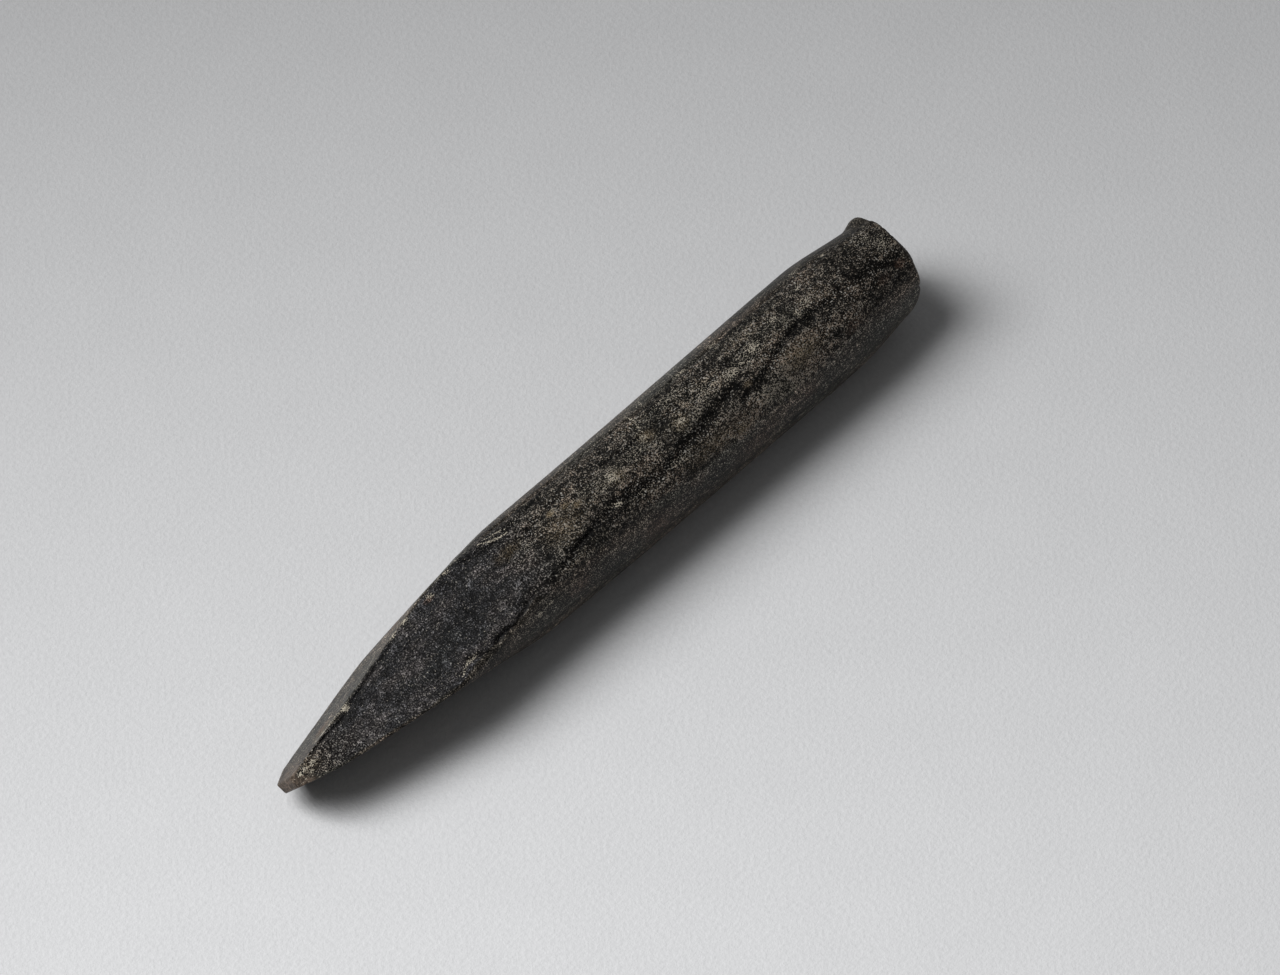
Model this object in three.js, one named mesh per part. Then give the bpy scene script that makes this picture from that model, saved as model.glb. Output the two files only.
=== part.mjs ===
// Bronze chisel: a forged round bar, tapered by flat facets to a narrow blunt cutting edge at one
// end and struck at the other. It lies along X with its edge at -X, on a narrow flat underneath.
// Round the bar, angles are in degrees from +Z towards -Y.

import * as THREE from 'three';

// Whole bar, in millimetres
const LENGTH = 160;
const BAR_RADIUS = 11;
const SWELL = { height: 0.18, centre: 95, spread: 35 };
const REST_FLAT_WIDTH = 5.2;
const BOW = { offset: 0.5, centre: 48, spread: 26 };
const WAVER = { height: 0.06, pitch: 38 };

// Flat facets of the tapered end. Roll is the way a facet faces, reach is its distance from the
// bar's axis at the tip, and slope is how fast it runs out to the round bar.
const NEAR_SIDE = { roll: 15, reach: 0.7, slope: 0.14 };
const NEAR_CORNER = { roll: 25, reach: -0.47, slope: 0.62 };
const LEFT_BEVEL = { roll: -56.7, reach: 0.05, slope: 0.229 };
const LEFT_FLANK = { roll: -63.9, reach: 4.55, slope: 0.105 };
const RIGHT_BEVEL = { roll: 125.8, reach: 2.25, slope: 0.241 };
const RIGHT_FLANK = { roll: 122.1, reach: 3.29, slope: 0.133 };
const FAR_CORNER = { roll: 197.2, reach: 6.57, slope: 0.74 };
const FACETS = [
  NEAR_SIDE, NEAR_CORNER, LEFT_BEVEL, LEFT_FLANK, RIGHT_BEVEL, RIGHT_FLANK, FAR_CORNER,
];
const TAPER_LENGTH = 62;
const EDGE_SOFTNESS = { tip: 0.09, root: 0.16 };
const NOSE = { length: 0.6, right: -1.04, up: -3.62 };

// The sections near the tip are long and thin, so their rays crowd towards their two narrow sides
const THIN_SECTION = { roll: 34, share: 0.4 };

// Struck end: it draws in, its rim is worn away low on the right and lips over high on the left
const BUTT = { radius: 9.36, taper: 20.5, rim: 1.2, flat: 5.2, zone: 8 };
const WEAR = { angle: 128, spread: 44, setback: 3.55 };
const HAMMERED = { angle: 32, spread: 60, setback: 1.86 };
const LIP = { angle: -54, spread: 16, height: 1, start: 4.6, full: 1.8 };

// Mesh density
const RAYS = 72;
const NOSE_ROWS = 4;
const TAPER_ROWS = 24;
const SHAFT_ROWS = 12;
const ZONE_ROWS = 6;
const RIM_ROWS = 4;
const FACE_ROWS = 3;
const LONGEST_RAY = 2 * BAR_RADIUS;
const RAY_TOLERANCE = 1e-6;
const FLOOR_TOLERANCE = 1e-9;

const BRONZE = { color: 0x2d2a27, roughness: 0.75, metalness: 0.35 };

const radians = THREE.MathUtils.degToRad;
const degrees = THREE.MathUtils.radToDeg;
const REST_DEPTH = Math.sqrt(BAR_RADIUS ** 2 - (REST_FLAT_WIDTH / 2) ** 2);

// Difference between two directions round the bar, from -180 to 180 degrees
function turn(angle, from) {
  return ((angle - from + 540) % 360) - 180;
}

function bump(distance, spread) {
  return Math.exp(-((distance / spread) ** 2));
}

function barRadius(x, angle) {
  const swell = THREE.MathUtils.clamp((x - SWELL.centre) / SWELL.spread, -1, 1) * SWELL.height;
  const drawn = THREE.MathUtils.smoothstep(x, LENGTH - BUTT.taper, LENGTH);
  const waver = Math.sin(radians(2 * angle) + x / WAVER.pitch) * Math.sin(x / WAVER.pitch);
  const lip = bump(turn(angle, LIP.angle), LIP.spread) * LIP.height
    * THREE.MathUtils.smoothstep(x, LENGTH - LIP.start, LENGTH - LIP.full);
  return THREE.MathUtils.lerp(BAR_RADIUS + swell, BUTT.radius, drawn) + WAVER.height * waver + lip;
}

// How far a point of a cross-section is outside the metal: negative inside, with softened edges.
// right and up are measured from the bar's axis.
function outside(x, right, up) {
  const across = right + BOW.offset * bump(x - BOW.centre, BOW.spread);
  const limits = [Math.hypot(across, up) - barRadius(x, degrees(Math.atan2(across, up)))];
  for (const facet of FACETS) {
    const roll = radians(facet.roll);
    limits.push(across * Math.sin(roll) + up * Math.cos(roll) - facet.reach - facet.slope * x);
  }
  const t = Math.min(x / TAPER_LENGTH, 1);
  const softness = THREE.MathUtils.lerp(EDGE_SOFTNESS.tip, EDGE_SOFTNESS.root, t);
  const highest = Math.max(...limits);
  const sum = limits.reduce((total, limit) => total + Math.exp((limit - highest) / softness), 0);
  return highest + softness * Math.log(sum);
}

// Middle of a cross-section, from which its rays start
function sectionCentre(x) {
  const t = Math.max(1 - x / TAPER_LENGTH, 0);
  return { right: NOSE.right * t, up: NOSE.up * t };
}

// Direction of a ray round the section at x
function rayAngle(x, ray) {
  const even = radians(360 * ray / RAYS);
  const share = THREE.MathUtils.lerp(THIN_SECTION.share, 1, Math.min(x / TAPER_LENGTH, 1));
  return THIN_SECTION.roll + degrees(Math.atan2(share * Math.sin(even), Math.cos(even)));
}

// Length of a ray from the middle of the section to its surface
function rayLength(x, angle) {
  const centre = sectionCentre(x);
  const right = Math.sin(radians(angle));
  const up = Math.cos(radians(angle));
  let low = 0;
  let high = LONGEST_RAY;
  while (high - low > RAY_TOLERANCE) {
    const middle = (low + high) / 2;
    if (outside(x, centre.right + middle * right, centre.up + middle * up) > 0) high = middle;
    else low = middle;
  }
  const toRest = up < 0 ? (REST_DEPTH + centre.up) / -up : Infinity;
  return Math.min(low, toRest);
}

// A point on a ray of the section at x, with the ray's length given, placed in the part's frame
function surfacePoint(x, angle, length, along = x) {
  const centre = sectionCentre(x);
  const right = centre.right + length * Math.sin(radians(angle));
  const height = centre.up + length * Math.cos(radians(angle)) + REST_DEPTH;
  const settled = Math.abs(height) < FLOOR_TOLERANCE ? 0 : height;
  return new THREE.Vector3(along - LENGTH / 2, -right, settled);
}

// How far the struck end falls back from its flat, round the rim
function setback(angle) {
  const worn = WEAR.setback * bump(turn(angle, WEAR.angle), WEAR.spread);
  return worn + HAMMERED.setback * bump(turn(angle, HAMMERED.angle), HAMMERED.spread);
}

// Rows of the mesh from the tip to the struck end. Each row gives the point of one ray.
function noseRow(i) {
  const share = (i + 1) / NOSE_ROWS;
  const x = NOSE.length * (1 - Math.cos(radians(90 * share)));
  const inset = NOSE.length * (1 - Math.sin(radians(90 * share)));
  return (ray) => {
    const angle = rayAngle(x, ray);
    return surfacePoint(x, angle, rayLength(x, angle) - inset);
  };
}

function sideRow(x) {
  return (ray) => surfacePoint(x, rayAngle(x, ray), rayLength(x, rayAngle(x, ray)));
}

function zoneRow(i) {
  return (ray) => {
    const angle = rayAngle(LENGTH, ray);
    const room = BUTT.zone - BUTT.rim - setback(angle);
    const x = LENGTH - BUTT.zone + room * (i + 1) / ZONE_ROWS;
    return surfacePoint(x, angle, rayLength(x, angle));
  };
}

function rimRow(i) {
  const round = radians(90 * (i + 1) / RIM_ROWS);
  return (ray) => {
    const angle = rayAngle(LENGTH, ray);
    const start = LENGTH - BUTT.rim - setback(angle);
    const length = rayLength(start, angle) - BUTT.rim * (1 - Math.cos(round));
    return surfacePoint(start, angle, length, start + BUTT.rim * Math.sin(round));
  };
}

function faceRow(i) {
  const share = (i + 1) / FACE_ROWS;
  return (ray) => {
    const angle = rayAngle(LENGTH, ray);
    const start = LENGTH - BUTT.rim - setback(angle);
    const outer = rayLength(start, angle) - BUTT.rim;
    const length = THREE.MathUtils.lerp(outer, BUTT.flat, share);
    const along = LENGTH - setback(angle) * (1 - Math.sin(radians(90 * share)));
    return surfacePoint(start, angle, length, along);
  };
}

function meshRows() {
  const rows = [];
  for (let i = 0; i < NOSE_ROWS; i++) rows.push(noseRow(i));
  const taperStep = (TAPER_LENGTH - NOSE.length) / TAPER_ROWS;
  for (let i = 1; i <= TAPER_ROWS; i++) rows.push(sideRow(NOSE.length + taperStep * i));
  const shaftStep = (LENGTH - BUTT.zone - TAPER_LENGTH) / SHAFT_ROWS;
  for (let i = 1; i <= SHAFT_ROWS; i++) rows.push(sideRow(TAPER_LENGTH + shaftStep * i));
  for (let i = 0; i < ZONE_ROWS; i++) rows.push(zoneRow(i));
  for (let i = 0; i < RIM_ROWS; i++) rows.push(rimRow(i));
  for (let i = 0; i < FACE_ROWS; i++) rows.push(faceRow(i));
  return rows;
}

// Closed mesh: the rows joined by triangles, closed by a middle point on the tip and on the butt
function barGeometry() {
  const rows = meshRows();
  const vertices = rows.flatMap((row) => Array.from({ length: RAYS }, (_, ray) => row(ray)));
  const tip = vertices.push(surfacePoint(0, 0, 0)) - 1;
  const butt = vertices.push(surfacePoint(LENGTH, 0, 0)) - 1;
  const last = (rows.length - 1) * RAYS;
  const faces = [];
  for (let ray = 0; ray < RAYS; ray++) {
    const next = (ray + 1) % RAYS;
    faces.push(tip, next, ray, butt, last + ray, last + next);
    for (let start = 0; start < last; start += RAYS) {
      const [a, b] = [start + ray, start + next];
      faces.push(a, b, a + RAYS, b, b + RAYS, a + RAYS);
    }
  }
  const geometry = new THREE.BufferGeometry().setFromPoints(vertices);
  geometry.setIndex(faces);
  return geometry;
}

// The bow shifts the box's middle a little, so the bar is moved sideways to centre it
function chisel() {
  const geometry = barGeometry();
  geometry.computeBoundingBox();
  const middle = geometry.boundingBox.getCenter(new THREE.Vector3());
  geometry.translate(-middle.x, -middle.y, 0);
  geometry.computeVertexNormals();
  const mesh = new THREE.Mesh(geometry, new THREE.MeshStandardMaterial(BRONZE));
  mesh.name = 'chisel';
  return mesh;
}

const group = new THREE.Group();
group.add(chisel());

export default group;
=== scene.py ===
import itertools
import math
from collections import namedtuple

import bpy
import numpy as np
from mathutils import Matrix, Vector


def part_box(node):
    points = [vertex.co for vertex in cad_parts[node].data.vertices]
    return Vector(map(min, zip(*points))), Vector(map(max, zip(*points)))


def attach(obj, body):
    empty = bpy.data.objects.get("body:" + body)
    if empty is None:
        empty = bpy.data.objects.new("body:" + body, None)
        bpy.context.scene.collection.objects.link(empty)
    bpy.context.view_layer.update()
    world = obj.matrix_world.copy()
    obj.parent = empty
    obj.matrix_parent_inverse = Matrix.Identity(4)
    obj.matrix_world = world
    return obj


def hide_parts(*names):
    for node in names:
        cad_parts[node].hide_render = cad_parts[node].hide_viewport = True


# A bronze chisel lying on pale paper: a round bar, tapered by flat facets to a narrow blunt cutting edge.
# Its surface is worked out in millimetres and turned into metres when the mesh is made.
# x runs along the bar from its tip. Angles are in degrees round the bar, from +Z towards -Y.

MM = 0.001

# The bar, as in the solid
LENGTH = 160
BAR_RADIUS = 11
SWELL = {"height": 0.18, "centre": 95, "spread": 35}
REST_FLAT_WIDTH = 5.2
BOW = {"offset": 0.5, "centre": 48, "spread": 26}
WAVER = {"height": 0.06, "pitch": 38}
TAPER_LENGTH = 62
Facet = namedtuple("Facet", "roll reach slope")
FACETS = [
    Facet(15, 0.7, 0.14),
    Facet(25, -0.47, 0.62),
    Facet(-56.7, 0.05, 0.229),
    Facet(-63.9, 4.55, 0.105),
    Facet(125.8, 2.25, 0.241),
    Facet(122.1, 3.29, 0.133),
    Facet(197.2, 6.57, 0.74),
]
EDGE_SOFTNESS = {"tip": 0.09, "root": 0.16}
NOSE = {"length": 0.6, "right": -1.04, "up": -3.62}
THIN_SECTION = {"roll": 34, "share": 0.4}
BUTT = {"radius": 9.36, "taper": 20.5, "rim": 1.2, "flat": 5.2, "zone": 8}
WEAR = {"angle": 128, "spread": 44, "setback": 3.55}
HAMMERED = {"angle": 32, "spread": 60, "setback": 1.86}
LIP = {"angle": -54, "spread": 16, "height": 1, "start": 4.6, "full": 1.8}
REST_DEPTH = math.sqrt(BAR_RADIUS**2 - (REST_FLAT_WIDTH / 2) ** 2)
BISECTIONS = 24
TINY = 1e-9

# Rows of vertices along the bar, and rays round it
RAYS = 236
EDGE_ROWS = 10
NOSE_ROWS = 8
SIDE_ROWS = 362
ZONE_ROWS = 20
RIM_ROWS = 6
FACE_ROWS = 10

# Where the crust ends on the bar's right and left: its edge's angle at places along the bar
CRUST_RIGHT = [
    (0, 40), (2.5, 46), (5, 52), (8, 57), (18, 62), (26, 65), (34, 65), (38, 61), (42, 59),
    (48, 57), (54, 52), (60, 57), (72, 58), (82, 56), (92, 63), (108, 66), (130, 65), (144, 58), (160, 54),
]
CRUST_LEFT = [
    (0, 17), (3, 10), (6, 3), (9, -1), (14, -3), (17, -11), (21, -17), (26, -23), (31, -27),
    (38, -30), (48, -31), (58, -36), (82, -33), (96, -25), (108, -28), (160, -29),
]
CRUST_START = {"middle": 22, "nearest": 0.9, "per_degree": 0.08, "fade": 0.25}

# Noise on the surface: the size of its lumps, its height, its seed, and how much longer it is along the bar
Lumps = namedtuple("Lumps", "size height seed stretch", defaults=(1,))

# How many degrees the crust's edge wanders and fades over, and what the round bar adds to that.
# EDGE_GROWS, SCATTER_BEGINS, RELIEF_GROWS, WARM_BAR and WARM_TIP are stretches of x, from start to end.
EDGE_WANDER = (Lumps(2.6, 1, 11), Lumps(1.1, 0.5, 12))
EDGE_REACH = {"blade": 0.8, "right_of_bar": 4, "left_of_bar": 2}
EDGE_FADE = {"right": 1.0, "right_of_bar": 3.5, "left": 1.5}
EDGE_GROWS = (40, 66)

# A bare patch near the butt, and crust scattered over the sides that the picture doesn't show
BARE_PATCH = {"x": 157.2, "along": 2.2, "angle": 58, "degrees": 9}
SCATTER = {"size": 7.5, "seed": 13, "none": 0.35, "full": 0.6, "cover": 0.8}
SCATTER_BEGINS = (40, 60)
SEEN = {"left": -60, "right": 115}

# Relief in millimetres: lumps and pits in the crust, lumps in the patina, the crust's raised rim, the
# ledge down to the patina on the sides that show, and the butt's face. It sets in over REST_FADE above
# the paper.
CRUST_LUMPS = (Lumps(3.6, 0.1, 21, 2), Lumps(1.5, 0.07, 22), Lumps(0.8, 0.055, 23))
PITS = {"size": 1.3, "seed": 24, "none": 0.35, "full": 0.75, "height": -0.14}
CRUST_DEPTH = {"blade": 0.55, "more_on_bar": 0.85}
RELIEF_GROWS = (40, 64)
PATINA_LUMPS = (Lumps(5, 0.02, 25), Lumps(1.6, 0.012, 26))
CRUST_RIM = 0.07
LEDGE = {"depth": 0.12, "middle": 30, "none": 95, "full": 75}
FACE_LUMPS = (Lumps(3, 0.05, 28),)
FACE = {"sunk": 0.03, "fade": 0.3}
REST_FADE = (0.02, 0.35)

# Long hollows in the crust: places (x, angle) along each, its width, and its depth before FURROW_SCALE
FURROW_SCALE = 1.6
FURROW_WANDER = (Lumps(2.2, 0.5, 27),)
Furrow = namedtuple("Furrow", "places width depth")
FURROWS = [
    Furrow([(37.6, 55), (39.6, 58), (42, 62)], 0.3, 0.35),
    Furrow([(43.4, 59), (46, 56), (48.6, 58), (53, 50)], 0.4, 0.45),
    Furrow([(52, 48), (59, 49), (64, 45), (70, 38)], 0.7, 0.22),
    Furrow([(65.8, 40), (70, 38), (77, 33), (83, 31)], 0.5, 0.28),
    Furrow([(81, 38), (88, 40), (93, 37), (102, 31), (111, 23)], 0.9, 0.3),
    Furrow([(112, 36), (119, 31), (124, 22), (129, 18), (141, 20)], 0.8, 0.25),
    Furrow([(57, -36), (66, -36), (81, -33), (89, -31), (96, -23), (106, -28), (120, -30)], 0.5, 0.16),
    Furrow([(82, -6), (87, 0), (94, 0), (101, 0)], 0.5, 0.22),
    Furrow([(128, -28), (138, -26), (147, -27)], 0.6, 0.12),
    Furrow([(141, 20), (149, 24), (155, 30)], 0.9, 0.15),
    Furrow([(5, 9), (9, 3), (14, 2), (17, -7), (21, -13), (26, -19), (31, -24)], 0.35, 0.16),
    Furrow([(50, -26), (56, -20), (62, -22), (68, -26)], 0.5, 0.2),
    Furrow([(56, 2), (62, -6), (70, -9), (76, -4)], 0.5, 0.14),
    Furrow([(104, 6), (112, 2), (119, -2)], 0.5, 0.14),
]

# Patches of colour: place, half sizes in millimetres along and round the bar, and strength
Patch = namedtuple("Patch", "x angle along around strength")
PALE_PATCHES = [
    Patch(1.5, 26, 0.6, 0.35, 1.25),
    Patch(2.4, 24, 0.5, 0.4, 1.1),
    Patch(4.2, 24.5, 0.9, 0.6, 0.85),
    Patch(3.2, 37, 0.4, 0.5, 0.8),
    # These five, along the edge between the top facet and the left facet near the tip, are partly pale marks
    # and partly painted highlights on that edge
    Patch(8.6, -12, 1.2, 0.5, 0.9),
    Patch(9.8, -9, 1.1, 0.5, 1.2),
    Patch(11.6, -10, 1.2, 0.45, 1.1),
    Patch(15.5, -7.5, 1.0, 0.6, 1.25),
    Patch(13.6, -14, 1.0, 0.5, 0.75),
    Patch(31.2, -28.5, 1.8, 0.4, 1.2),
    Patch(34.6, -29, 1.6, 0.35, 1.0),
    Patch(41.2, -27.5, 0.8, 0.4, 1.0),
    Patch(37.6, 56, 1.7, 0.45, 0.6),
    Patch(41.0, -27, 0.9, 0.4, 0.7),
    Patch(46.5, -31, 1.2, 0.5, 0.6),
    Patch(61, 4, 3.0, 1.5, 0.35),
    Patch(75, 4, 3.0, 1.5, 0.35),
    Patch(88, 8, 3.0, 1.5, 0.4),
    Patch(106, 8, 4.0, 2.0, 0.4),
    Patch(117, 10, 4.0, 2.0, 0.4),
    Patch(100, -14, 4.0, 1.6, 0.35),
    Patch(84, 42, 3.0, 1.0, 0.35),
    Patch(94, 42, 3.0, 1.0, 0.4),
    Patch(53.8, 68, 0.8, 0.6, 1.0),
    Patch(56.8, 67, 0.5, 0.5, 0.9),
    Patch(66.9, -36, 0.5, 1.0, 0.5),
    Patch(80.8, 12, 1.4, 1.2, 0.9),
    Patch(78.2, 15, 1.2, 0.8, 0.5),
    Patch(91.5, 1, 0.9, 0.9, 0.7),
    Patch(98.9, 14, 1.0, 0.8, 1.0),
    Patch(104, 38, 0.6, 0.5, 0.8),
    Patch(113.1, 11, 2.0, 1.0, 0.95),
    Patch(120, 6, 1.9, 1.3, 0.9),
    Patch(122, -8, 0.7, 0.5, 0.7),
    Patch(127.3, -3, 1.3, 0.8, 0.75),
    Patch(134.8, 5, 1.5, 0.9, 0.6),
    Patch(136.2, -12, 0.9, 0.5, 0.8),
    Patch(108, -31, 2.0, 0.8, 0.6),
    Patch(116.5, -31, 1.2, 0.6, 0.6),
    Patch(139, -34, 1.1, 0.8, 0.6),
    Patch(146, -28, 0.9, 0.6, 0.8),
    Patch(153, -12, 2.8, 2.0, 0.42),
    Patch(155, 8, 2.2, 2.4, 0.5),
    Patch(116.5, 92, 2.0, 1.6, 0.35),
]
TAN_PATCHES = [
    Patch(67.6, -2, 0.9, 0.5, 1.0),
    Patch(70.5, 2, 0.9, 0.5, 0.9),
    Patch(72.3, 9, 1.2, 0.6, 0.9),
    Patch(67.5, 16, 4.6, 3.0, 0.34),
    Patch(57, -5, 3.4, 1.2, 0.4),
    Patch(81.6, 14, 1.6, 1.2, 0.6),
    Patch(92, 3, 1.6, 1.2, 0.6),
    Patch(98.6, 15, 1.7, 1.2, 0.6),
    Patch(108.2, 58, 1.7, 0.9, 0.6),
    Patch(114, 29, 0.9, 0.6, 0.7),
    Patch(126.5, 40, 5.0, 2.2, 0.5),
    Patch(101, 52, 8.0, 2.0, 0.3),
    Patch(3.5, 25, 2.6, 1.4, 0.3),
    Patch(11, -32, 2.6, 1.6, 0.5),
]
COPPER_PATCHES = [
    Patch(40.6, -26, 1.1, 0.35, 1.0),
    Patch(34.6, -55, 1.6, 1.0, 0.7),
    Patch(11.7, -50, 1.6, 1.2, 0.6),
    Patch(64, 76, 3.0, 2.0, 0.3),
    Patch(84, 84, 4.2, 2.6, 0.3),
    Patch(95, 70, 3.4, 1.6, 0.22),
    Patch(110, 82, 6.0, 2.4, 0.25),
    Patch(125, 76, 3.0, 2.2, 0.28),
    Patch(139, 53, 2.2, 1.2, 0.35),
    Patch(150, 40, 2.4, 1.0, 0.3),
    Patch(155, 38, 1.2, 0.9, 0.6),
]

# Broad lighter areas, and darker ones with a minus. Their strength is in powers of two, which the crust's
# contrast then scales. The mesh stores them as shares of TONE_RANGE.
TONE_RANGE = 8
TONES = [
    Patch(106, -44, 28, 2.4, 0.4),
    Patch(60, -42, 10, 3.0, -0.9),
    Patch(94, -37, 12, 1.6, 0.4),
    Patch(33, -46, 6, 3.0, 0.9),
    Patch(43, -36, 6, 1.6, 0.8),
    Patch(121, 47, 15, 3.6, 1.5),
    Patch(100, 16, 34, 3.4, 0.75),
    Patch(66, 14, 8, 3.2, 0.35),
    Patch(112, 60, 46, 3.2, 0.85),
    Patch(98, 92, 55, 4.0, -0.8),
    Patch(150, -34, 9, 9.0, -1.3),
    Patch(98, -20, 38, 3.0, -0.7),
    Patch(46, 20, 9, 4.0, -0.7),
    Patch(32, 24, 10, 3.4, -0.5),
    Patch(40, 76, 8, 2.4, -0.8),
    Patch(61, -25, 5, 1.0, -0.5),
    Patch(86, 32, 7, 1.9, -0.7),
    Patch(101, 31, 8, 1.2, -0.7),
    Patch(110, 24, 7, 1.0, -0.7),
    Patch(68.5, 50, 3.4, 1.6, -0.6),
    Patch(78, 47, 8, 1.6, -0.5),
    Patch(130, 18, 5, 1.2, -0.8),
    Patch(119, 31, 3, 0.9, -0.6),
    Patch(151, 27, 4, 1.8, -0.4),
    Patch(13.3, 4, 2.0, 1.2, -0.6),
    Patch(154, 86, 5, 5.0, 0.9),
    Patch(134, -50, 12, 3.0, -1.0),
]

# Pale hairs and scratches: places (x, angle) along each, and its width before SCRATCH_SPREAD
SCRATCH_SPREAD = 1.4
Scratch = namedtuple("Scratch", "places width")
SCRATCHES = [
    Scratch([(94.1, -37), (94, -30), (93.9, -23), (92.8, -12), (92, -3)], 0.16),
    Scratch([(131.4, 5), (131.6, 10), (131.0, 14)], 0.14),
    Scratch([(76, 30), (78.6, 38)], 0.13),
    Scratch([(77.4, 31), (79.4, 37)], 0.11),
    Scratch([(54.4, -30), (56.4, -23), (59.7, -18)], 0.13),
    Scratch([(98.7, -42), (97.8, -32)], 0.14),
    Scratch([(34.6, 62), (36.4, 58), (39, 56)], 0.12),
    Scratch([(56, -31), (58, -27), (60, -24)], 0.1),
]

# Dents: place, half width and depth
Dent = namedtuple("Dent", "x angle spread depth")
DENTS = [
    Dent(13.6, -3, 0.9, 0.3),
    Dent(47.0, 57, 0.5, 0.35),
    Dent(44.4, 57, 0.4, 0.3),
    Dent(60, 47, 0.6, 0.25),
    Dent(23, 44, 0.5, 0.15),
    Dent(87, 44, 0.7, 0.2),
    Dent(132, 25, 0.8, 0.25),
]
NOTCH = {"angle": 79, "spread": 2.6, "depth": 0.7, "from_end": 3.8, "to_end": 2.0}

# Worn metal at the butt's corner and at the tip, and where the crust turns warm in colour
WORN_CORNER = {"inset": 0.6, "spread": 0.9, "strength": 0.5}
WORN_TIP = {"full": 1.5, "none": 3.5, "per_degree": 0.02}
WARM_BAR = (48, 68)
WARM_TIP = (4, 16)
# The relief's height in millimetres that the stored height spans; the material paints shade into the hollows
# and light onto the lumps from it
HEIGHT_RANGE = 0.5

# The mesh's own noise: how many cells it has before it repeats, and how steep it is
NOISE_CELLS = 256
NOISE_SLOPE = 1.6

# The view: its angles and its scale were fitted to the picture, and its distance in metres was chosen
VIEW = {"azimuth": -48.16, "elevation": 50.66, "distance": 1.6}
AIM = Vector((0, 0, 0.011))
IMAGE_WIDTH = 1280
IMAGE_HEIGHT = 975
AIM_PIXEL = (598.4, 510.7)
PIXELS_PER_MM = 5.612

# The softbox, in metres, degrees and watts, the place on the floor that it faces, and the air's own light
KEY_DIRECTION = Vector((-0.544, 0.317, 0.777))
KEY = {"distance": 0.95, "size": 0.68, "spread": 66, "power": 2.2}
KEY_AIM = {"right": 0.075, "forward": -0.26}
AIR_LIGHT = 0.093
FLOOR_SIZE = 8


def turn(angle, start):
    """The difference between two angles, from -180 to 180 degrees."""
    return (angle - start + 540) % 360 - 180


def bump(distance, spread):
    return np.exp(-((distance / spread) ** 2))


def ramp(value, start, end):
    """0 before start, 1 after end, and smooth between them."""
    share = np.clip((value - start) / (end - start), 0, 1)
    return share * share * (3 - 2 * share)


def bar_radius(x, angle):
    swell = np.clip((x - SWELL["centre"]) / SWELL["spread"], -1, 1) * SWELL["height"]
    drawn = ramp(x, LENGTH - BUTT["taper"], LENGTH)
    waver = np.sin(np.radians(2 * angle) + x / WAVER["pitch"]) * np.sin(x / WAVER["pitch"])
    lip = bump(turn(angle, LIP["angle"]), LIP["spread"]) * LIP["height"]
    lip = lip * ramp(x, LENGTH - LIP["start"], LENGTH - LIP["full"])
    radius = BAR_RADIUS + swell
    return radius + (BUTT["radius"] - radius) * drawn + WAVER["height"] * waver + lip


def outside(x, right, up):
    """How far a point of a cross-section is outside the metal, with softened edges between the facets."""
    across = right + BOW["offset"] * bump(x - BOW["centre"], BOW["spread"])
    angle = np.degrees(np.arctan2(across, up))
    limits = [np.hypot(across, up) - bar_radius(x, angle)]
    for facet in FACETS:
        roll = np.radians(facet.roll)
        limits.append(across * np.sin(roll) + up * np.cos(roll) - facet.reach - facet.slope * x)
    share = np.minimum(x / TAPER_LENGTH, 1)
    softness = EDGE_SOFTNESS["tip"] + (EDGE_SOFTNESS["root"] - EDGE_SOFTNESS["tip"]) * share
    limits = np.array(limits)
    highest = limits.max(axis=0)
    return highest + softness * np.log(np.exp((limits - highest) / softness).sum(axis=0))


def section_centre(x):
    share = np.maximum(1 - x / TAPER_LENGTH, 0)
    return NOSE["right"] * share, NOSE["up"] * share


def ray_angles(x):
    """Directions of the rays round a section, which crowd towards its two narrow sides near the tip."""
    even = np.radians(np.arange(RAYS)[None, :] * 360 / RAYS)
    share = THIN_SECTION["share"] + (1 - THIN_SECTION["share"]) * np.minimum(x / TAPER_LENGTH, 1)
    return THIN_SECTION["roll"] + np.degrees(np.arctan2(share * np.sin(even), np.cos(even)))


def ray_length(x, angle):
    """Length of each ray from the middle of its section to the surface, or to the plane of the floor."""
    centre_right, centre_up = section_centre(x)
    right = np.sin(np.radians(angle))
    up = np.cos(np.radians(angle))
    low = np.zeros(np.broadcast(x, angle).shape)
    high = low + 2 * BAR_RADIUS
    for _ in range(BISECTIONS):
        middle = (low + high) / 2
        out = outside(x, centre_right + middle * right, centre_up + middle * up) > 0
        high = np.where(out, middle, high)
        low = np.where(out, low, middle)
    falls = up < 0
    to_rest = (REST_DEPTH + centre_up) / np.where(falls, -up, 1)
    return np.where(falls, np.minimum(low, to_rest), low)


def surface_points(x, angle, length, along):
    centre_right, centre_up = section_centre(x)
    right = centre_right + length * np.sin(np.radians(angle))
    up = centre_up + length * np.cos(np.radians(angle))
    places = np.broadcast_arrays(along - LENGTH / 2, -right, up + REST_DEPTH)
    return np.stack(places, axis=-1)


def setback(angle):
    """How far the struck end falls back from its flat, round the rim."""
    worn = WEAR["setback"] * bump(turn(angle, WEAR["angle"]), WEAR["spread"])
    return worn + HAMMERED["setback"] * bump(turn(angle, HAMMERED["angle"]), HAMMERED["spread"])


def steps(count):
    """The shares 1/count, 2/count ... 1, as a column."""
    return np.arange(1, count + 1)[:, None] / count


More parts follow.
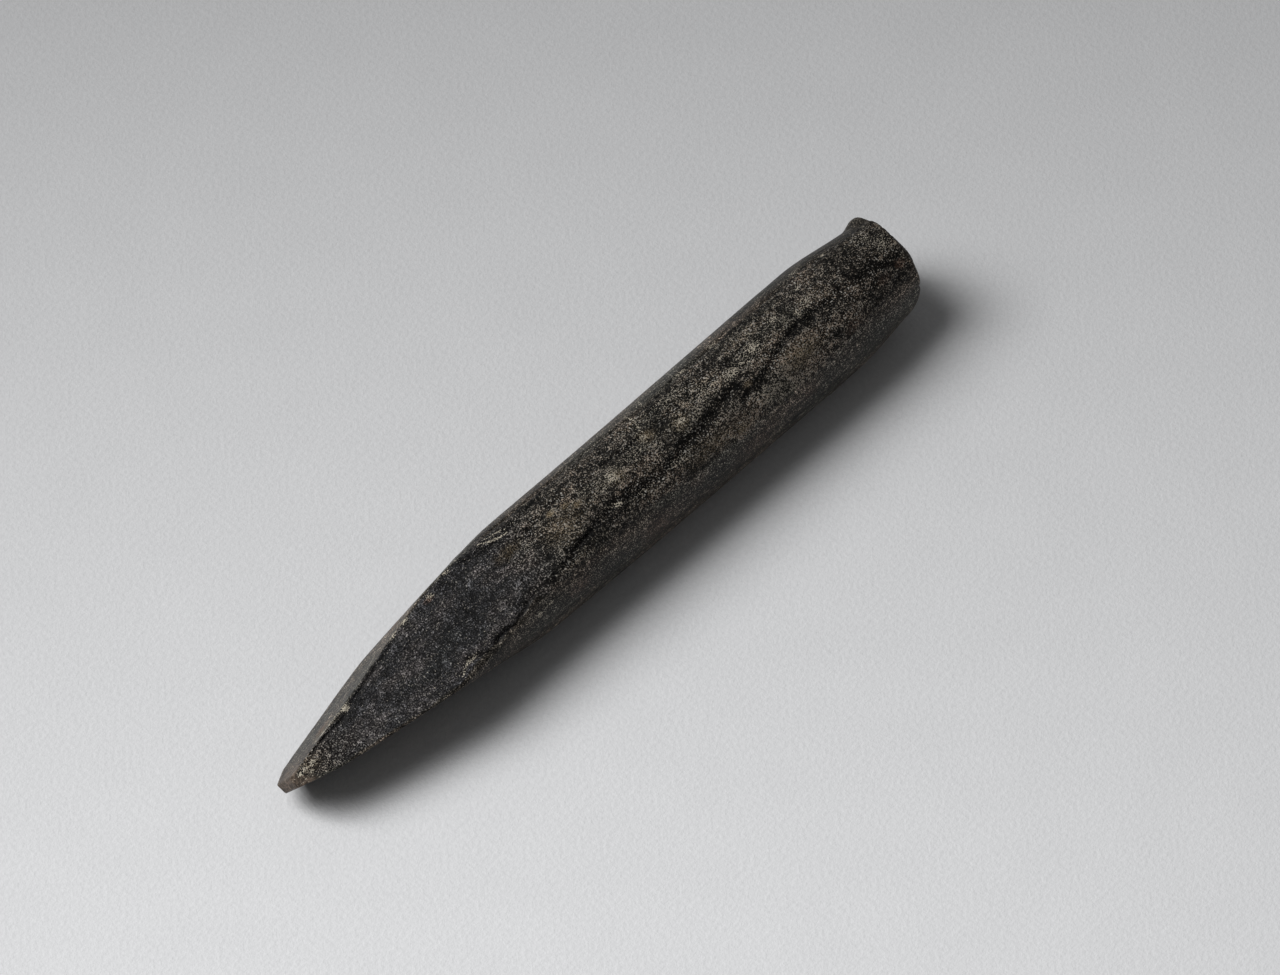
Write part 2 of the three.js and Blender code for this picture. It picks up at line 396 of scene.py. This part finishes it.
def bar_surface():
    """Rows of points on the smooth bar, with each point's x and angle."""
    quarter = np.radians(90)
    tip_angle = ray_angles(0)
    edge_length = (ray_length(0, tip_angle) - NOSE["length"]) * steps(EDGE_ROWS)
    nose_x = NOSE["length"] * (1 - np.cos(quarter * steps(NOSE_ROWS)))
    nose_angle = ray_angles(nose_x)
    nose_length = ray_length(nose_x, nose_angle) - NOSE["length"] * (1 - np.sin(quarter * steps(NOSE_ROWS)))
    side_x = NOSE["length"] + (LENGTH - BUTT["zone"] - NOSE["length"]) * steps(SIDE_ROWS)
    side_angle = ray_angles(side_x)

    angle = ray_angles(LENGTH)
    room = BUTT["zone"] - BUTT["rim"] - setback(angle)
    zone_x = LENGTH - BUTT["zone"] + room * steps(ZONE_ROWS)
    start = LENGTH - BUTT["rim"] - setback(angle)
    outer = ray_length(start, angle)
    rounding = quarter * steps(RIM_ROWS)
    rim_length = outer - BUTT["rim"] * (1 - np.cos(rounding))
    rim_along = start + BUTT["rim"] * np.sin(rounding)
    share = steps(FACE_ROWS)
    face_length = outer - BUTT["rim"] + (BUTT["flat"] - outer + BUTT["rim"]) * share
    face_along = LENGTH - setback(angle) * (1 - np.sin(quarter * share))

    parts = [
        (0 * steps(EDGE_ROWS), tip_angle, edge_length, 0 * steps(EDGE_ROWS)),
        (nose_x, nose_angle, nose_length, nose_x),
        (side_x, side_angle, ray_length(side_x, side_angle), side_x),
        (zone_x, angle, ray_length(zone_x, angle), zone_x),
        (start, angle, rim_length, rim_along),
        (start, angle, face_length, face_along),
    ]
    points = np.concatenate([surface_points(*part) for part in parts])
    angles = [np.broadcast_to(part[1], np.broadcast(*part).shape) for part in parts]
    return points, points[..., 0] + LENGTH / 2, np.concatenate(angles)


def outward(points):
    """Unit normals of the rows of points, which close round the bar."""
    lengthways = np.gradient(points, axis=0)
    round_bar = np.roll(points, -1, axis=1) - np.roll(points, 1, axis=1)
    normals = np.cross(round_bar, lengthways)
    return normals / np.maximum(np.linalg.norm(normals, axis=-1, keepdims=True), TINY)


def noise(points, size, seed):
    """Perlin noise between about -1 and 1, in lumps about size across."""
    rng = np.random.default_rng(seed)
    order = rng.permutation(NOISE_CELLS)
    slopes = rng.normal(size=(NOISE_CELLS, 3))
    slopes *= NOISE_SLOPE / np.linalg.norm(slopes, axis=1, keepdims=True)
    cell = np.floor(points / size).astype(int)
    part = points / size - cell
    fade = part**3 * (part * (part * 6 - 15) + 10)
    total = np.zeros(points.shape[:-1])
    for corner in itertools.product((0, 1), repeat=3):
        i, j, k = np.moveaxis((cell + corner) % NOISE_CELLS, -1, 0)
        hashed = order[(i + order[(j + order[k]) % NOISE_CELLS]) % NOISE_CELLS]
        weight = np.prod(np.where(corner, fade, 1 - fade), axis=-1)
        total += weight * ((part - corner) * slopes[hashed]).sum(axis=-1)
    return total


def lumpy(points, lumps):
    """The sum of noises at each point, each with its own size, height, seed and stretch."""
    return sum(one.height * noise(points * (1 / one.stretch, 1, 1), one.size, one.seed) for one in lumps)


def distance_to_line(places, x, angle):
    """Distance over the surface, in millimetres, to a line through places (x, angle)."""
    arc = math.radians(1) * BAR_RADIUS
    around = turn(angle, 0) * arc
    nearest = np.full(x.shape, np.inf)
    for (x0, a0), (x1, a1) in zip(places, places[1:]):
        step = (x1 - x0, (a1 - a0) * arc)
        share = (x - x0) * step[0] + (around - a0 * arc) * step[1]
        share = np.clip(share / (step[0] ** 2 + step[1] ** 2), 0, 1)
        gap = np.hypot(x - x0 - share * step[0], around - a0 * arc - share * step[1])
        nearest = np.minimum(nearest, gap)
    return nearest


def spot(mark, points):
    """How strongly a mark covers each point: its strength in the middle, fading outwards."""
    x = np.array([mark.x])
    angle = np.array([mark.angle])
    gap = points - surface_points(x, angle, ray_length(x, angle), x)[0]
    across = np.hypot(gap[..., 1], gap[..., 2])
    return mark.strength * bump(np.hypot(gap[..., 0] / mark.along, across / mark.around), 1)


def patches(marks, points):
    return np.max([spot(mark, points) for mark in marks], axis=0)


def crust_cover(x, angle, points):
    """1 where the grainy crust covers the bar, 0 on the smooth patina."""
    around = turn(angle, 0)
    ragged = lumpy(points, EDGE_WANDER)
    on_bar = ramp(x, *EDGE_GROWS)
    right_reach = EDGE_REACH["blade"] + EDGE_REACH["right_of_bar"] * on_bar
    left_reach = EDGE_REACH["blade"] + EDGE_REACH["left_of_bar"] * on_bar
    right_edge = np.interp(x, *zip(*CRUST_RIGHT)) + ragged * right_reach
    left_edge = np.interp(x, *zip(*CRUST_LEFT)) + ragged * left_reach
    fade = EDGE_FADE["right"] + EDGE_FADE["right_of_bar"] * on_bar
    right = ramp(right_edge - around, -fade, fade)
    left = ramp(around - left_edge, -EDGE_FADE["left"], EDGE_FADE["left"])
    first = CRUST_START["nearest"] + CRUST_START["per_degree"] * np.abs(around - CRUST_START["middle"])
    start = ramp(x, first - CRUST_START["fade"], first + CRUST_START["fade"])
    bare = bump(x - BARE_PATCH["x"], BARE_PATCH["along"])
    bare = bare * bump(around - BARE_PATCH["angle"], BARE_PATCH["degrees"])
    scattered = noise(points, SCATTER["size"], SCATTER["seed"])
    scattered = SCATTER["cover"] * ramp(scattered, SCATTER["none"], SCATTER["full"])
    scattered = scattered * ramp(x, *SCATTER_BEGINS)
    unseen = (around < SEEN["left"]) | (around > SEEN["right"])
    hidden = np.where(unseen, scattered, 0)
    return np.clip(np.maximum(right * left * start * (1 - bare), hidden), 0, 1)


def relief(x, angle, points, crust):
    """Height of the corroded surface over the smooth bar, in millimetres."""
    pits = PITS["height"] * ramp(noise(points, PITS["size"], PITS["seed"]), PITS["none"], PITS["full"])
    on_bar = ramp(x, *RELIEF_GROWS)
    depth = CRUST_DEPTH["blade"] + CRUST_DEPTH["more_on_bar"] * on_bar
    height = crust * (lumpy(points, CRUST_LUMPS) + pits) * depth
    height += (1 - crust) * lumpy(points, PATINA_LUMPS)
    wander = lumpy(points, FURROW_WANDER)
    for furrow in FURROWS:
        gap = distance_to_line(furrow.places, x, angle) + wander * furrow.width
        height -= FURROW_SCALE * furrow.depth * bump(gap, furrow.width)
    for dent in DENTS:
        height -= dent.depth * spot(Patch(dent.x, dent.angle, dent.spread, dent.spread, 1), points)
    edge = np.clip(4 * crust * (1 - crust), 0, 1) * (1 - on_bar)
    height += CRUST_RIM * edge
    shown = ramp(np.abs(turn(angle, LEDGE["middle"])), LEDGE["none"], LEDGE["full"])
    height -= LEDGE["depth"] * (1 - crust) * on_bar * shown
    end = ramp(x, LENGTH - NOTCH["from_end"], LENGTH - NOTCH["to_end"])
    height -= NOTCH["depth"] * end * bump(turn(angle, NOTCH["angle"]), NOTCH["spread"])
    on_face = ramp(x, LENGTH - FACE["fade"], LENGTH)
    height += on_face * (lumpy(points, FACE_LUMPS) - FACE["sunk"])
    resting = 1 - ramp(points[..., 2], *REST_FADE)
    return height * (1 - resting)


def corroded_surface():
    """The bar's points with their relief, and the amounts that its material reads at each."""
    smooth, x, angle = bar_surface()
    crust = crust_cover(x, angle, smooth)
    height = relief(x, angle, smooth, crust)
    points = smooth + outward(smooth) * height[..., None]
    scratched = np.zeros(x.shape)
    for scratch in SCRATCHES:
        gap = distance_to_line(scratch.places, x, angle)
        scratched = np.maximum(scratched, bump(gap, SCRATCH_SPREAD * scratch.width))
    corner = LENGTH - np.maximum(setback(angle), WORN_CORNER["inset"])
    worn_corner = bump(x - corner, WORN_CORNER["spread"]) * WORN_CORNER["strength"]
    off_middle = np.abs(turn(angle, CRUST_START["middle"]))
    worn_tip = 1 - ramp(x, WORN_TIP["full"], WORN_TIP["none"] + WORN_TIP["per_degree"] * off_middle)
    worn = np.maximum(worn_corner, worn_tip * (1 - crust))
    warmth = np.maximum(ramp(x, *WARM_BAR), 1 - ramp(x, *WARM_TIP))
    amounts = {
        "crust": crust,
        # The relief's height, which the material turns into painted shade in hollows and painted light on
        # lumps
        "height": np.clip(0.5 + height / HEIGHT_RANGE, 0, 1),
        "pale": np.maximum(patches(PALE_PATCHES, smooth), scratched),
        "tan": patches(TAN_PATCHES, smooth),
        "copper": patches(COPPER_PATCHES, smooth),
        "tone": 0.5 + sum(spot(mark, smooth) for mark in TONES) / TONE_RANGE,
        "worn": worn,
        "warmth": warmth,
    }
    return points, amounts


def closed_faces(rows):
    """Quads between the rows, and a fan of triangles at each end, round the two points put after the rows."""
    faces = []
    tip = rows * RAYS
    butt = tip + 1
    last = (rows - 1) * RAYS
    for ray in range(RAYS):
        following = (ray + 1) % RAYS
        faces.append((tip, following, ray))
        faces.append((butt, last + ray, last + following))
        for start in range(0, last, RAYS):
            faces.append((start + ray, start + following, start + RAYS + following, start + RAYS + ray))
    return faces


def chisel_piece():
    low, high = (np.array(corner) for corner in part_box("chisel"))
    points, amounts = corroded_surface()
    rows = len(points)
    tip = (-LENGTH / 2, *surface_points(0, 0, 0, 0)[1:])
    butt = (LENGTH / 2, 0, REST_DEPTH)
    places = np.concatenate([points.reshape(-1, 3), [tip, butt]]) * MM
    # The bow moves the middle of the mesh's box, so the mesh is moved sideways onto the solid's box
    middle = (places.min(axis=0) + places.max(axis=0)) / 2
    places[:, 1] += (low[1] + high[1]) / 2 - middle[1]
    places = np.clip(places, low, high)
    mesh = bpy.data.meshes.new("chisel_relief")
    mesh.from_pydata(places.tolist(), [], closed_faces(rows))
    mesh.shade_smooth()
    for name, amount in amounts.items():
        ends = (amount[0].mean(), amount[-1].mean())
        values = np.concatenate([amount.ravel(), ends]).astype(np.float32)
        mesh.attributes.new(name, "FLOAT", "POINT").data.foreach_set("value", values)
    piece = bpy.data.objects.new("chisel_relief", mesh)
    bpy.context.collection.objects.link(piece)
    mesh.materials.append(bronze_material())
    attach(piece, "root")
    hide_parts("chisel")


class Nodes:
    """Short calls for a material's nodes. A call's result is the node's output socket."""

    def __init__(self, name):
        self.material = bpy.data.materials.new(name)
        self.material.use_nodes = True
        self.tree = self.material.node_tree
        self.shader = self.tree.nodes["Principled BSDF"]
        self.coordinates = self.tree.nodes.new("ShaderNodeTexCoord").outputs["Object"]

    def make(self, kind, inputs, **settings):
        made = self.tree.nodes.new(kind)
        for name, value in settings.items():
            setattr(made, name, value)
        for name, value in inputs.items():
            self.plug(made.inputs[name], value)
        return made

    def plug(self, socket, value):
        if isinstance(value, bpy.types.NodeSocket):
            self.tree.links.new(value, socket)
        else:
            socket.default_value = value

    def amount(self, name):
        return self.make("ShaderNodeAttribute", {}, attribute_name=name).outputs["Fac"]

    def math(self, operation, *values):
        return self.make("ShaderNodeMath", dict(enumerate(values)), operation=operation).outputs[0]

    def stretched(self, along):
        """Coordinates in which patterns are that many times longer along the bar."""
        scale = (1 / along, 1, 1)
        inputs = {0: self.coordinates, 1: scale}
        return self.make("ShaderNodeVectorMath", inputs, operation="MULTIPLY").outputs[0]

    def shifted(self, distance):
        """Coordinates moved aside, for a pattern that is independent of another of its size."""
        inputs = {0: self.coordinates, 1: (distance, distance, distance)}
        return self.make("ShaderNodeVectorMath", inputs, operation="ADD").outputs[0]

    def noise(self, size, detail=2, roughness=0.5, distortion=0, where=None):
        """Noise from 0 to 1 in lumps of that size, in millimetres."""
        inputs = {
            "Vector": where or self.coordinates,
            "Scale": 1 / (size * MM),
            "Detail": detail,
            "Roughness": roughness,
            "Distortion": distortion,
        }
        return self.make("ShaderNodeTexNoise", inputs).outputs["Fac"]

    def remap(self, value, start, end, low=0, high=1):
        inputs = {"Value": value, "From Min": start, "From Max": end, "To Min": low, "To Max": high}
        return self.make("ShaderNodeMapRange", inputs, clamp=True).outputs["Result"]

    def swing(self, value, size):
        """The value's distance from its middle, times a size."""
        return self.math("MULTIPLY", self.math("SUBTRACT", value, 0.5), size)

    def swings(self, value, sizes, patterns):
        """A value plus the swing of each named pattern."""
        for name, size in sizes.items():
            value = self.math("ADD", value, self.swing(patterns[name], size))
        return value

    def strands(self, value, width):
        """1 along the lines where a noise crosses its middle, fading to 0 at that width."""
        off_middle = self.math("ABSOLUTE", self.math("SUBTRACT", value, 0.5))
        return self.remap(off_middle, 0, width, 1, 0)

    def mix(self, amount, first, second, blend="MIX"):
        inputs = {0: amount, 6: first, 7: second}
        return self.make("ShaderNodeMix", inputs, data_type="RGBA", blend_type=blend).outputs[2]

    def brightened(self, colour, factor):
        return self.mix(1.0, colour, self.grey(factor), "MULTIPLY")

    def grey(self, value):
        inputs = {"Red": value, "Green": value, "Blue": value}
        return self.make("ShaderNodeCombineColor", inputs).outputs["Color"]

    def bump(self, height, distance, strength, under=None):
        inputs = {"Height": height, "Distance": distance * MM, "Strength": strength}
        if under:
            inputs["Normal"] = under
        return self.make("ShaderNodeBump", inputs).outputs["Normal"]


# Colours of the bronze, as linear light
CRUST_COOL = (0.0270, 0.0268, 0.0284, 1)
CRUST_WARM = (0.0230, 0.0201, 0.0168, 1)
CRUST_BROWN = (1.07, 0.98, 0.92, 1)
CRUST_GREEN = (0.97, 1.01, 0.99, 1)
PATINA_BROWN = (0.0365, 0.0300, 0.0243, 1)
PATINA_GREEN = (0.0262, 0.0248, 0.0212, 1)
WORN = (0.072, 0.054, 0.041, 1)
PALE = (0.52, 0.47, 0.38, 1)
TAN = (0.26, 0.20, 0.125, 1)
COPPER = (0.24, 0.14, 0.10, 1)
# Painted glints: bright flecks in the crust's base colour that stand in for its sparkle
GLINT_FLECK = (0.56, 0.53, 0.48, 1)

# How far each pattern swings the brightness over its whole range, in powers of two. FINE_SWING is the
# crust's, and the crust's sum is then scaled by CONTRAST_BY_WARMTH.
FINE_SWING = 32
# The swing by height is painted shade in the crust's hollows and painted light on its lumps
CRUST_SWINGS = {"coarse": 10, "middling": 8, "clumps": 6.5, "strands": 1.5, "height": 6}
PATINA_SWINGS = {"fine": 17, "coarse": 4, "middling": 4, "streaks": 4.5}
WORN_SWING = 5
BRIGHTEST_GRAIN = 15

# A pattern's values from start to end are turned into values from low to high
Range = namedtuple("Range", "start end low high", defaults=(0, 1))
# The share of its noise that the painted glint flecks take
GLINTS_IN_NOISE = Range(0.67, 0.735)
STRAND_WIDTH = 0.035
FINE_BY_MIDDLING = Range(0.35, 0.65, 0.6, 1.25)
CONTRAST_BY_WARMTH = Range(0, 1, 0.42, 0.82)
# How warmth and clumps thin the painted glint flecks
GLINTS_BY_WARMTH = Range(0, 1, 0.2, 0.7)
GLINTS_BY_CLUMPS = Range(0.38, 0.62, 0.2, 1.2)
BROWN_BY_CLUMPS = Range(0.46, 0.62)
GREEN_BY_BROAD = Range(0.5, 0.62)
PATINA_BY_BROAD = Range(0.4, 0.6)
EDGE_BY_FINE = Range(0.3, 0.7, -0.22, 0.22)
CRUST_OVER_PATINA = Range(0.3, 0.7)
ROUGHNESS_BY_CRUST = Range(0, 1, 0.46, 0.62)
ROUGHNESS_BY_FINE = Range(0.3, 0.7, -0.06, 0.08)
BUMP_BY_CRUST = Range(0, 1, 0.18, 1.0)

# Patches: how strongly worn metal shows, the thickest paint in its grain, and how their edges break up
WORN_COVER = 0.85
PAINTS = (("tan", TAN, 1.6), ("copper", COPPER, 1.3))
PAINT_GRAIN = (0.38, 0.66)
PAINT_COVER = Range(0.05, 1.1)
PALE_SWING = 3.2
PALE_COVER = Range(0.62, 0.86)

METALLIC = 0.05
SPECULAR = 0.16

# Bumps in the material: their depth in millimetres and their strength
MIDDLING_BUMP = (0.16, 1.0)
STREAK_BUMP = (0.08, 0.8)
FINE_BUMP_DEPTH = 0.12


def bronze_patterns(nodes):
    """The patterns of the bronze's grain, each from 0 to 1, with flecks for painted glints and the relief's
    height for painted shade and light.
    """
    # Noise for bright flecks that are painted glints
    glint_flecks = nodes.noise(size=0.3, detail=0, where=nodes.shifted(0.31))
    strands = nodes.noise(size=0.9, detail=1, distortion=1.2)
    return {
        "fine": nodes.noise(size=0.24, detail=1, roughness=0.5, distortion=0.2),
        "coarse": nodes.noise(size=0.7, detail=1, roughness=0.6, distortion=1.2),
        "glint_flecks": nodes.remap(glint_flecks, *GLINTS_IN_NOISE),
        "streaks": nodes.noise(size=0.7, detail=2, where=nodes.stretched(9)),
        "middling": nodes.noise(size=1.3, detail=2, roughness=0.55),
        "clumps": nodes.noise(size=3.0, detail=2, where=nodes.stretched(2.6)),
        "broad": nodes.noise(size=9, detail=3, where=nodes.stretched(2.4)),
        "strands": nodes.strands(strands, STRAND_WIDTH),
        # The relief's height, for painted shade in the hollows and painted light on the lumps
        "height": nodes.amount("height"),
    }


def crust_colour(nodes, patterns, tone):
    """Dark crust, warm or cool, with a brightness from all its patterns and with bright flecks. The
    brightness by height is painted shade in the hollows and painted light on the lumps, and the flecks are
    painted glints.
    """
    warmth = nodes.amount("warmth")
    clumps = patterns["clumps"]
    fineness = nodes.remap(patterns["middling"], *FINE_BY_MIDDLING)
    sharp = nodes.math("MULTIPLY", nodes.swing(patterns["fine"], FINE_SWING), fineness)
    stops = nodes.swings(nodes.math("ADD", tone, sharp), CRUST_SWINGS, patterns)
    stops = nodes.math("MULTIPLY", stops, nodes.remap(warmth, *CONTRAST_BY_WARMTH))
    grain = nodes.math("MINIMUM", nodes.math("POWER", 2, stops), BRIGHTEST_GRAIN)
    colour = nodes.mix(warmth, CRUST_COOL, CRUST_WARM)
    for tint, cover in (
        (CRUST_BROWN, nodes.remap(clumps, *BROWN_BY_CLUMPS)),
        (CRUST_GREEN, nodes.remap(patterns["broad"], *GREEN_BY_BROAD)),
    ):
        colour = nodes.mix(cover, colour, nodes.mix(1.0, colour, tint, "MULTIPLY"))
    colour = nodes.brightened(colour, grain)
    # Painted glints: bright flecks, more of them on warm crust and in clumps
    glint_flecks = nodes.math("MULTIPLY", patterns["glint_flecks"], nodes.remap(warmth, *GLINTS_BY_WARMTH))
    glint_flecks = nodes.math("MULTIPLY", glint_flecks, nodes.remap(clumps, *GLINTS_BY_CLUMPS))
    return nodes.mix(nodes.remap(glint_flecks, 0, 1), colour, GLINT_FLECK)


def patina_colour(nodes, patterns, tone):
    stops = nodes.swings(tone, PATINA_SWINGS, patterns)
    colour = nodes.mix(nodes.remap(patterns["broad"], *PATINA_BY_BROAD), PATINA_GREEN, PATINA_BROWN)
    return nodes.brightened(colour, nodes.math("POWER", 2, stops))


def worn_colour(nodes, patterns):
    stops = nodes.swings(nodes.swing(patterns["streaks"], WORN_SWING), {"coarse": WORN_SWING}, patterns)
    return nodes.brightened(WORN, nodes.math("POWER", 2, stops))


def bronze_material():
    nodes = Nodes("bronze")
    patterns = bronze_patterns(nodes)
    fine = patterns["fine"]
    crust = nodes.amount("crust")
    tone = nodes.swing(nodes.amount("tone"), TONE_RANGE)

    ragged = nodes.math("ADD", crust, nodes.remap(fine, *EDGE_BY_FINE))
    cover = nodes.remap(ragged, *CRUST_OVER_PATINA)
    colour = nodes.mix(cover, patina_colour(nodes, patterns, tone), crust_colour(nodes, patterns, tone))
    cover = nodes.math("MULTIPLY", nodes.amount("worn"), WORN_COVER)
    colour = nodes.mix(cover, colour, worn_colour(nodes, patterns))
    for name, paint, thickest in PAINTS:
        cover = nodes.math("MULTIPLY", nodes.amount(name), nodes.remap(fine, *PAINT_GRAIN, 0, thickest))
        colour = nodes.mix(nodes.remap(cover, *PAINT_COVER), colour, paint)
    grains = nodes.math("ADD", nodes.amount("pale"), nodes.swing(fine, PALE_SWING))
    colour = nodes.mix(nodes.remap(grains, *PALE_COVER), colour, PALE)
    nodes.plug(nodes.shader.inputs["Base Color"], colour)

    roughness = nodes.remap(crust, *ROUGHNESS_BY_CRUST)
    roughness = nodes.math("ADD", roughness, nodes.remap(fine, *ROUGHNESS_BY_FINE))
    nodes.plug(nodes.shader.inputs["Roughness"], roughness)
    nodes.shader.inputs["Metallic"].default_value = METALLIC
    nodes.shader.inputs["Specular IOR Level"].default_value = SPECULAR

    lumps = nodes.bump(patterns["middling"], *MIDDLING_BUMP)
    lumps = nodes.bump(patterns["streaks"], *STREAK_BUMP, lumps)
    strength = nodes.remap(crust, *BUMP_BY_CRUST)
    nodes.plug(nodes.shader.inputs["Normal"], nodes.bump(fine, FINE_BUMP_DEPTH, strength, lumps))
    return nodes.material


# The paper: the level of each channel, and how far its fibres and clouds change all three
PAPER = {"Red": 0.795, "Green": 0.80, "Blue": 0.812}
FIBRE_TONE = Range(0.3, 0.7, -0.035, 0.035)
CLOUD_TONE = Range(0.3, 0.7, -0.008, 0.008)
FIBRE_BUMP = (0.16, 0.8)
PAPER_ROUGHNESS = 0.9
PAPER_SPECULAR = 0.15


def paper_floor():
    bpy.ops.mesh.primitive_plane_add(size=FLOOR_SIZE)
    floor = bpy.context.object
    floor.name = "paper_floor"
    nodes = Nodes("pale_paper")
    fibres = nodes.noise(size=0.9, detail=3, roughness=0.7)
    clouds = nodes.noise(size=14, detail=2)
    tone = nodes.math("ADD", nodes.remap(fibres, *FIBRE_TONE), nodes.remap(clouds, *CLOUD_TONE))
    colour = nodes.make("ShaderNodeCombineColor", {})
    for name, level in PAPER.items():
        nodes.plug(colour.inputs[name], nodes.math("ADD", tone, level))
    nodes.plug(nodes.shader.inputs["Base Color"], colour.outputs["Color"])
    nodes.shader.inputs["Roughness"].default_value = PAPER_ROUGHNESS
    nodes.shader.inputs["Specular IOR Level"].default_value = PAPER_SPECULAR
    nodes.plug(nodes.shader.inputs["Normal"], nodes.bump(fibres, *FIBRE_BUMP))
    floor.data.materials.append(nodes.material)


def view_axes():
    """Unit vectors from the object to the camera, and to the picture's right and up."""
    azimuth = math.radians(VIEW["azimuth"])
    elevation = math.radians(VIEW["elevation"])
    level = math.cos(elevation)
    back = Vector((math.sin(azimuth) * level, -math.cos(azimuth) * level, math.sin(elevation)))
    right = Vector((math.cos(azimuth), math.sin(azimuth), 0))
    return back, right, back.cross(right)


def camera():
    back, right, up = view_axes()
    beside = (IMAGE_WIDTH / 2 - AIM_PIXEL[0]) / PIXELS_PER_MM * MM
    above = (AIM_PIXEL[1] - IMAGE_HEIGHT / 2) / PIXELS_PER_MM * MM
    lens = bpy.data.cameras.new("camera")
    lens.lens = PIXELS_PER_MM / MM * VIEW["distance"] * lens.sensor_width / IMAGE_WIDTH
    lens.clip_end = FLOOR_SIZE
    made = bpy.data.objects.new("camera", lens)
    made.location = AIM + back * VIEW["distance"] + right * beside + up * above
    made.rotation_mode = "QUATERNION"
    made.rotation_quaternion = (-back).to_track_quat("-Z", "Y")
    bpy.context.collection.objects.link(made)
    bpy.context.scene.camera = made


def light():
    back, right, _ = view_axes()
    forward = Vector((-back.x, -back.y, 0)).normalized()
    place = KEY_DIRECTION.normalized() * KEY["distance"]
    aim = right * KEY_AIM["right"] + forward * KEY_AIM["forward"]
    softbox = bpy.data.lights.new("softbox", "AREA")
    softbox.shape = "SQUARE"
    softbox.size = KEY["size"]
    softbox.energy = KEY["power"]
    softbox.spread = math.radians(KEY["spread"])
    made = bpy.data.objects.new("softbox", softbox)
    made.location = place
    made.rotation_mode = "QUATERNION"
    made.rotation_quaternion = (aim - place).to_track_quat("-Z", "Y")
    bpy.context.collection.objects.link(made)
    world = bpy.data.worlds.new("air")
    world.use_nodes = True
    world.node_tree.nodes["Background"].inputs["Color"].default_value = (1, 1, 1, 1)
    world.node_tree.nodes["Background"].inputs["Strength"].default_value = AIR_LIGHT
    bpy.context.scene.world = world
    bpy.context.scene.view_settings.view_transform = "Standard"


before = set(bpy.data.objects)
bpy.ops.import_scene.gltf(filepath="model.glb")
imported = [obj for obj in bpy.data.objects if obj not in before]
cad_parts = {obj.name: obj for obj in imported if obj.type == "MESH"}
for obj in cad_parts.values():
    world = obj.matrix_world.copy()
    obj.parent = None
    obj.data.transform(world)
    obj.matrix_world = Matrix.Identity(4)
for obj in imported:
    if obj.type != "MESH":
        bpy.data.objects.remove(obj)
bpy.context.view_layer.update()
camera()
light()
paper_floor()
chisel_piece()
